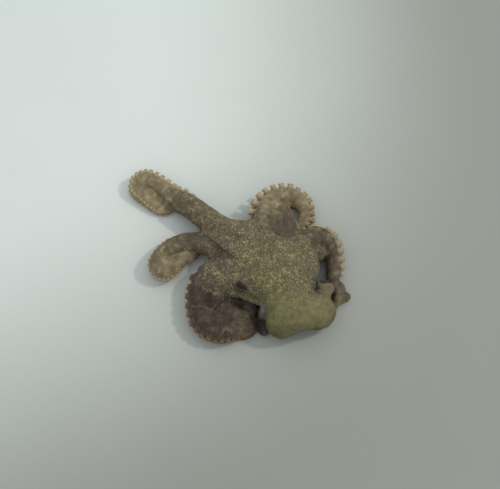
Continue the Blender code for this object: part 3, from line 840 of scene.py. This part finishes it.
# Painted shade: a dark colour laid into the mouth's pit, the recess under the flank, the skin
# facing down under the head, the crease round each eye, the fold, the funnel's bore and the
# furrows, and at the spots listed.
painted_shade_zone = zone(
    "gloom", mouth_pit, 0.95 * recess_shade, facing_down * near_spot(1.0, -22.0, 8.0, 8.5),
    0.92 * eye_painted_shade, 0.45 * fold_shade, 0.95 * funnel_bore, 0.4 * groove,
)
grey_zone = near_spot(9.6, -26.8, 9.6, 3.0) * (1 - mantle_zone)


def carry(mesh, layers):
    """Gives a mesh's points the named values that its material reads."""
    for name, values in layers.items():
        layer = mesh.attributes.new(name, "FLOAT", "POINT")
        layer.data.foreach_set("value", np.asarray(values, np.float32))


carry(skin.data, {
    "grain": grain, "grain_tone": grain_tone, "mantle": mantle_zone, "head": head_side,
    "oral": oral_zone, "umber": umber_and_flank_shade, "pale": pale_zone, "gold": zone("gold"),
    "gloom": painted_shade_zone, "grey": grey_zone, "funnel": funnel_zone, "arm": on_arm,
})


def tint(red, green, blue):
    """A colour given as 0 to 255 the way a screen shows it, in the linear light shaders use."""
    parts = [channel / 255 for channel in (red, green, blue)]
    return tuple(p / 12.92 if p <= 0.04045 else ((p + 0.055) / 1.055) ** 2.4 for p in parts)


class Shade:
    """A value on its way through a material: arithmetic on it adds the Math nodes."""

    def __init__(self, finish, socket):
        self.finish = finish
        self.socket = socket

    def math(self, operation, first, second):
        return self.finish.node("ShaderNodeMath", {"operation": operation}, {0: first, 1: second})

    def __add__(self, other):
        return self.math("ADD", self, other)

    def __radd__(self, other):
        return self.math("ADD", other, self)

    def __sub__(self, other):
        return self.math("SUBTRACT", self, other)

    def __rsub__(self, other):
        return self.math("SUBTRACT", other, self)

    def __mul__(self, other):
        return self.math("MULTIPLY", self, other)

    def __rmul__(self, other):
        return self.math("MULTIPLY", other, self)

    def __pow__(self, other):
        return self.math("POWER", self, other)


class Finish:
    """One material: its nodes, and the shader that they end in."""

    def __init__(self, name, **constants):
        self.material = bpy.data.materials.new(name)
        self.material.use_nodes = True
        self.tree = self.material.node_tree
        self.shader = self.tree.nodes["Principled BSDF"]
        for socket, value in constants.items():
            self.shader.inputs[socket.replace("_", " ")].default_value = value

    def node(self, kind, settings=None, inputs=None, take=0):
        """Adds a node and gives one of its outputs."""
        made = self.tree.nodes.new(kind)
        for key, value in (settings or {}).items():
            if key == "stops":
                ramp = made.color_ramp
                while len(ramp.elements) < len(value):
                    ramp.elements.new(1.0)
                for element, (place, level) in zip(ramp.elements, value):
                    element.position = place
                    element.color = (level, level, level, 1.0)
            else:
                setattr(made, key, value)
        for key, value in (inputs or {}).items():
            self.feed(made.inputs[key], value)
        return Shade(self, made.outputs[take])

    def feed(self, socket, value):
        if isinstance(value, Shade):
            self.tree.links.new(value.socket, socket)
        elif isinstance(value, tuple) and len(value) == 3 and socket.type == "RGBA":
            socket.default_value = (*value, 1.0)
        else:
            socket.default_value = value

    def layer(self, name):
        """A value that the mesh carries at each point."""
        return self.node("ShaderNodeAttribute", {"attribute_name": name}, take="Fac")

    def place(self, axis):
        """Where the surface is along X, Y or Z, in the object's own metres."""
        where = self.node("ShaderNodeTexCoord", take="Object")
        return self.node("ShaderNodeSeparateXYZ", None, {"Vector": where}, take=axis)

    def noise(self, size, detail=3.0, roughness=0.55):
        """Cloudy noise whose blotches are about size millimetres across."""
        where = self.node("ShaderNodeTexCoord", take="Object")
        inputs = {"Vector": where, "Scale": 1000 / size, "Detail": detail, "Roughness": roughness}
        return self.node("ShaderNodeTexNoise", None, inputs, take="Fac")

    def ramp(self, value, *stops):
        return self.node("ShaderNodeValToRGB", {"stops": stops}, {"Fac": value}, take="Color")

    def mix(self, first, second, factor):
        """The first colour going over to the second."""
        settings = {"data_type": "RGBA", "clamp_factor": True}
        return self.node(
            "ShaderNodeMix", settings, {"Factor": factor, 6: first, 7: second}, take=2
        )

    def dim(self, colour, level):
        """A colour made darker or brighter by a value."""
        return self.node(
            "ShaderNodeVectorMath", {"operation": "SCALE"}, {0: colour, "Scale": level}
        )

    def bump(self, height, distance, strength=1.0):
        inputs = {"Height": height, "Distance": distance * MM, "Strength": strength}
        return self.node("ShaderNodeBump", None, inputs, take="Normal")

    def finish(self, **values):
        for socket, value in values.items():
            self.feed(self.shader.inputs[socket.replace("_", " ")], value)
        return self.material


WEB_COLOURS = tint(84, 75, 57), tint(156, 144, 112)  # in the grooves and on the grains' tops
ZONE_COLOURS = {
    "head": (tint(78, 71, 52), tint(144, 135, 100)),
    "mantle": (tint(101, 96, 65), tint(127, 121, 84)),
    "umber": (tint(58, 48, 40), tint(104, 90, 72)),
    "pale": (tint(120, 108, 82), tint(170, 156, 120)),
}
FUNNEL_COLOUR = tint(108, 100, 76)
GOLD = tint(172, 158, 98)
PATCH = tint(158, 148, 122)
# the colour of painted shade
PAINTED_SHADE_COLOUR = tint(34, 33, 31)
GREY = tint(112, 112, 114)
ORAL, UMBER_ORAL = tint(140, 124, 96), tint(92, 70, 50)

hide = Finish(
    "octopus_skin", IOR=1.38, Specular_IOR_Level=0.3, Subsurface_Weight=0.12,
    Subsurface_Radius=(1.0, 0.55, 0.3), Subsurface_Scale=0.0009, Metallic=0.0,
)
grain_top = hide.layer("grain")
tone = hide.layer("grain_tone")
blotches = hide.noise(7.0)
flecks = hide.ramp(hide.noise(2.4, detail=4.0), (0.36, 0.0), (0.58, 1.0))
freckles = hide.noise(0.9, detail=2.0)
lit = grain_top**2.8 * (0.24 + 0.66 * tone) * (0.6 + 0.7 * freckles) * (0.55 + 0.55 * flecks)
lit = lit * (1.0 - 0.5 * hide.layer("arm")) + 0.1 * hide.layer("arm")
ground = hide.mix(*WEB_COLOURS, lit)
for name, colours in ZONE_COLOURS.items():
    ground = hide.mix(ground, hide.mix(*colours, lit), hide.layer(name))
# the skin's umber: dark pigment on the arms, and painted shade under the flank
umber = hide.layer("umber")
patches = hide.ramp(hide.noise(2.4, detail=5.0, roughness=0.65), (0.54, 0.0), (0.66, 1.0))
ground = hide.mix(ground, PATCH, patches * hide.layer("arm") * (0.5 - 0.42 * umber))
ground = hide.mix(ground, FUNNEL_COLOUR, hide.layer("funnel") * 0.8)
ground = hide.mix(ground, GOLD, hide.layer("gold") * (lit * 0.42 + 0.09))
ground = hide.mix(ground, hide.mix(ORAL, UMBER_ORAL, umber), hide.layer("oral") * 0.6)
ground = hide.mix(ground, GREY, hide.layer("grey") * 0.8)
# painted shade darkens the hollows and undersides
ground = hide.mix(ground, PAINTED_SHADE_COLOUR, hide.layer("gloom") * 0.9)
ground = hide.dim(ground, (0.78 + 0.38 * blotches) * (0.84 + 0.22 * flecks))
stains = hide.ramp(hide.noise(3.6, detail=4.0, roughness=0.65), (0.42, 1.0), (0.56, 0.0))
ground = hide.dim(ground, 1.03 - 0.3 * stains * hide.layer("arm"))
wrinkles = hide.noise(0.45, detail=4.0, roughness=0.6)
skin.data.materials.append(hide.finish(
    Base_Color=ground,
    Roughness=0.48 + 0.16 * freckles,
    Normal=hide.bump(wrinkles, 0.08, 0.6),
))
skin.data.shade_smooth()
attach(skin, "root")
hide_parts(*[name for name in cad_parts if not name.startswith("eye")])


# ---------------------------------------------------------------- the suckers
# Two rows of suckers run down each arm and take turns. A sucker is a short stalk that flares
# to a thin rim round a shallow cup, with a deeper hole at the cup's middle. They're the
# arm's own flesh, and they shrink with it to the tip.
SUCKER_PITCH = 0.88  # spacing of one row's rims, in arm radii
SUCKER_SIZE = 0.33  # radius of a rim, in arm radii
BARE_ROOT, BARE_TIP = 5.0, 0.8  # lengths of an arm without suckers
BARE_ROOTS = {"arm_left_3": 14, "arm_right_3": 10, "arm_right_4": 10}  # where the webs hide more
SUCKER_LAY = {  # against the usual: spacing at the arm's root and tip, height, width, flare
    "arm_left_1": (0.95, 0.72, 1.15, 1.4, 0.56), "arm_left_2": (0.95, 0.5, 0.95, 1.2, 0.62),
    "arm_left_3": (1.45, 0.62, 0.76, 1.3, 0.62), "arm_right_1": (1.42, 1.15, 1.22, 1.06, 1.0),
    "arm_right_2": (1.5, 1.1, 0.78, 1.3, 0.78),
}
SUCKER_ROOT = 0.88  # where a stalk starts, in arm radii from the arm's middle
STALK_TALL, STALK_FALL = 1.12, 0.3  # how tall the first stalks are, and what is lost by the tip
SUCKER_SIDES = 16
# From the root to the hole: radius in rim radii, height in stalk heights, and the shade, which
# goes from the stalk's at 0 to the rim's at 1 and the cup's at 2.
SUCKER_PROFILE = [
    (1.55, -0.45, 0.0), (1.36, -0.10, 0.1), (1.12, 0.18, 0.25), (0.94, 0.42, 0.45),
    (0.88, 0.62, 0.75), (0.95, 0.80, 0.95), (1.04, 0.91, 1.0), (1.05, 0.98, 1.0),
    (0.96, 1.00, 1.3), (0.80, 0.97, 1.5), (0.60, 0.90, 1.7), (0.44, 0.80, 1.9),
    (0.36, 0.66, 2.0), (0.20, 0.58, 2.0),
]
UMBER_ARMS = {  # the lengths between which the suckers turn umber, and how far they do
    "arm_left_3": (13, 24, 1.0), "arm_right_2": (8, 16, 0.12),
}
STALK, RIM, CUP_INSIDE = tint(124, 112, 86), tint(164, 150, 117), tint(136, 121, 94)
DARK_STALK, DARK_RIM = tint(72, 59, 47), tint(114, 88, 62)


def add_sucker(built, base, out, ahead, rim, height, flare, rolls, wave):
    """One sucker turned about the way it points, with a rim that waves a little."""
    across = np.cross(out, ahead)
    angle = angles_round(SUCKER_SIDES) + rolls
    rings = []
    for radius, level, shade in SUCKER_PROFILE:
        ripple = 1.0 + wave * np.cos(3 * angle + rolls) * (radius > 0.8)
        radius *= 1.0 - (1.0 - flare) * float(smooth_step(level, 0.0, 1.0))
        ring = base + out * level * height
        ring = ring + spokes(angle, ahead, across) * (rim * radius * ripple)[:, None]
        ring[:, 2] = np.maximum(ring[:, 2], 0.0)
        rings.append(pressed(ring))
        built["cup"] += [shade] * SUCKER_SIDES
    first = len(built["points"])
    built["points"] += [tuple(point) for ring in rings for point in placed(ring)]
    for ring in range(len(rings) - 1):
        for i in range(SUCKER_SIDES):
            j = (i + 1) % SUCKER_SIDES
            low, high = first + ring * SUCKER_SIDES, first + (ring + 1) * SUCKER_SIDES
            built["faces"].append((low + i, low + j, high + j, high + i))
    last = first + (len(rings) - 1) * SUCKER_SIDES
    built["faces"].append(tuple(last + i for i in range(SUCKER_SIDES)))
    built["faces"].append(tuple(first + i for i in reversed(range(SUCKER_SIDES))))


cups = Finish(
    "sucker_flesh", IOR=1.38, Specular_IOR_Level=0.4, Subsurface_Weight=0.3,
    Subsurface_Radius=(1.0, 0.55, 0.3), Subsurface_Scale=0.0012, Metallic=0.0,
)
cup = cups.layer("cup")
# the umber pigment of the suckers on the dark arms
umber_and_floor_shade = cups.layer("umber")
mottle = cups.noise(1.6)
rim_share = cups.ramp(cup * 0.5, (0.12, 0.0), (0.46, 1.0), (0.55, 1.0), (0.75, 0.0))
colour = cups.mix(STALK, RIM, rim_share)
colour = cups.mix(colour, cups.mix(DARK_STALK, DARK_RIM, rim_share), umber_and_floor_shade)
colour = cups.mix(colour, CUP_INSIDE, cups.ramp(cup * 0.5, (0.6, 0.0), (0.8, 0.6), (0.95, 0.2)))
cup_material = cups.finish(
    Base_Color=cups.dim(colour, 0.78 + 0.44 * mottle),
    Roughness=0.36 + 0.2 * mottle,
    Normal=cups.bump(cups.noise(0.3), 0.05, 0.5),
)

chance = random.Random(5)
for name, course in courses.items():
    if name == "arm_left_4":
        continue  # it's folded shut under the coiled arm, with its suckers turned inwards
    built = {"points": [], "faces": [], "cup": [], "umber": []}
    rims = course.middle + course.sucker * (SUCKER_REACH * course.radius)[:, None]
    # How much further apart the rims lie than the arm's middle does, outside a curl.
    stretch = np.linalg.norm(np.gradient(rims, COURSE_STEP, axis=0), axis=1)
    place, row = BARE_ROOTS.get(name, BARE_ROOT), 1
    *spacing, tall, wide, flare = SUCKER_LAY.get(name, (1.0,) * 5)
    while place < course.length - BARE_TIP:
        scale = float(np.interp(place / course.length, (0.1, 0.9), spacing))
        plump = min(scale, 0.85 + 0.15 * scale)  # wider spacing makes them only a little bigger
        radius = course.at(course.radius, place)
        middle = course.at(course.middle, place)
        out, side = course.at(course.sucker, place), course.at(course.side, place)
        ahead = unit(course.at(course.forward, place))
        spread = math.radians(SUCKER_ANGLE * chance.uniform(0.85, 1.15)) * row
        point_out = unit(math.cos(spread) * out + math.sin(spread) * side)
        rim = SUCKER_SIZE * radius * plump * wide * chance.uniform(0.9, 1.1)
        height = (SUCKER_REACH - SUCKER_ROOT) * radius * plump**1.5 * tall
        height *= (STALK_TALL - STALK_FALL * place / course.length) * chance.uniform(0.88, 1.08)
        before = len(built["points"])
        lean = unit(point_out + ahead * chance.uniform(-0.12, 0.12))
        ahead = unit(ahead - ahead @ lean * lean)
        base = middle + point_out * radius * SUCKER_ROOT
        rolls, wave = chance.uniform(0, 6.28), chance.uniform(0.0, 0.05)
        add_sucker(built, base, lean, ahead, rim, height, flare, rolls, wave)
        start, end, most = UMBER_ARMS.get(name, (0, 1, 0.0))
        dark = most * float(smooth_step(place, start, end))
        built["umber"] += [dark] * (len(built["points"]) - before)
        spread_out = max(1.0, course.at(stretch, place))
        place += SUCKER_PITCH * scale * radius / 2 / spread_out
        row = -row
    mesh = bpy.data.meshes.new(f"suckers_{name}")
    mesh.from_pydata(built["points"], [], built["faces"])
    carry(mesh, {"cup": built["cup"], "umber": built["umber"]})
    mesh.materials.append(cup_material)
    mesh.shade_smooth()
    suckers = set_out(f"suckers_{name}", mesh)
    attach(suckers, "root")


# ---------------------------------------------------------------- the eyeballs
# The globe itself: a clear wet ball with a dark streaked iris round a black pupil, which is
# a level slit. It sits in the eye's mound behind the lids, and bulges a little in front.
IRIS_DARK, IRIS_SHEEN, PUPIL = tint(26, 25, 23), tint(58, 56, 50), tint(8, 8, 9)
PUPIL_HALF = (1.5, 0.34)  # half length and half height of the slit
BULGE = 0.06  # how much further out the front of the globe is, as a share of its radius
globe = Finish(
    "eye_globe", IOR=1.34, Specular_IOR_Level=0.25, Coat_Weight=0.06, Coat_Roughness=0.1,
    Metallic=0.0,
)
long_way, short_way = (
    globe.place(axis) * (1000 / half) for axis, half in zip("XY", PUPIL_HALF)
)
slit = long_way**2.0 + short_way**2.0
pupil = globe.ramp(slit, (0.75, 1.0), (1.0, 0.0))
streaks = globe.noise(0.5)
iris = globe.mix(IRIS_DARK, IRIS_SHEEN, streaks**1.5)
globe_material = globe.finish(
    Base_Color=globe.mix(iris, PUPIL, pupil),
    Roughness=0.12 + 0.1 * streaks,
    Normal=globe.bump(streaks, 0.03, 0.3),
)
for name, (middle, looks, runs) in EYES.items():
    out, along, across = eye_axes(looks, runs)
    built = bmesh.new()
    bmesh.ops.create_uvsphere(built, u_segments=48, v_segments=32, radius=EYE_RADIUS * MM)
    for vertex in built.verts:
        front = vertex.co.z / (EYE_RADIUS * MM)
        vertex.co *= 1.0 + BULGE * float(smooth_step(front, 0.72, 1.0))
    mesh = mesh_of(built, f"{name}_globe")
    mesh.materials.append(globe_material)
    mesh.shade_smooth()
    eyeball = set_out(f"{name}_globe", mesh)
    turn = Matrix((along, across, out)).transposed().to_4x4()
    eyeball.matrix_world = Matrix.Translation(placed(middle)) @ turn
    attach(eyeball, "root")
    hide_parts(name)


# ---------------------------------------------------------------- floor, light and camera
# A plain pale floor with painted shade that deepens to the front and the right, a broad soft
# lamp high at the right and a gentle sky all round. The camera looks down steeply from the front.
FLOOR_PALE, FLOOR_SHADE = tint(204, 210, 206), tint(137, 139, 132)
FLOOR_REACH = 2  # metres each way
floor_mesh = bpy.data.meshes.new("floor")
corners = [(FLOOR_REACH * x, FLOOR_REACH * y, 0) for x, y in ((-1, -1), (1, -1), (1, 1), (-1, 1))]
floor_mesh.from_pydata(corners, [], [(0, 1, 2, 3)])
floor = set_out("floor", floor_mesh)
pale = Finish("pale_floor", Specular_IOR_Level=0.2)
right, front = pale.place("X"), pale.place("Y") * -1.0
# Painted shade on the floor, deepening towards the front right corner and to the right.
out_of_shade = 1.0  # one dusk deepens towards the front right corner and another to the right
for umber_and_floor_shade in (0.44 + 5.2 * front + 2.5 * right, 0.28 + 5.8 * right):
    eased = {"interpolation_type": "SMOOTHSTEP"}
    out_of_shade = out_of_shade * (1.0 - pale.node("ShaderNodeMapRange", eased, {"Value": umber_and_floor_shade}))
cloud = pale.noise(40.0)
floor_mesh.materials.append(pale.finish(
    Base_Color=pale.dim(pale.mix(FLOOR_SHADE, FLOOR_PALE, out_of_shade), 0.97 + 0.05 * cloud),
    Roughness=0.7 + 0.1 * cloud,
))

TARGET = (4.2, 5.7, 5.0)  # what the camera looks at
CAMERA_RISE = 62  # degrees above the floor
CAMERA_DISTANCE = 408.33
camera_data = bpy.data.cameras.new("camera")
camera_data.lens = 70
camera_data.sensor_width = 36
camera = set_out("camera", camera_data)
rise = math.radians(CAMERA_RISE)
back = Vector((0, -math.cos(rise), math.sin(rise)))
camera.location = Vector(placed(TARGET)) + back * CAMERA_DISTANCE * MM
camera.rotation_euler = (math.radians(90) - rise, 0, 0)
bpy.context.scene.camera = camera

LAMP_DISTANCE = 0.75  # metres from the middle of the floor
lamp_data = bpy.data.lights.new("lamp", "AREA")
lamp_data.shape = "DISK"
lamp_data.size = 0.07
lamp_data.energy = 1.9
lamp_data.color = (1.0, 0.98, 0.94)
lamp = set_out("lamp", lamp_data)
toward = Vector((0.68, 0.13, 0.72)).normalized()
lamp.location = toward * LAMP_DISTANCE
lamp.rotation_euler = toward.to_track_quat("Z", "Y").to_euler()

world = bpy.data.worlds.new("world")
world.use_nodes = True
sky = world.node_tree.nodes["Background"]
sky.inputs["Color"].default_value = (0.95, 0.98, 1.0, 1.0)
sky.inputs["Strength"].default_value = 0.94
bpy.context.scene.world = world
bpy.context.scene.view_settings.view_transform = "Standard"
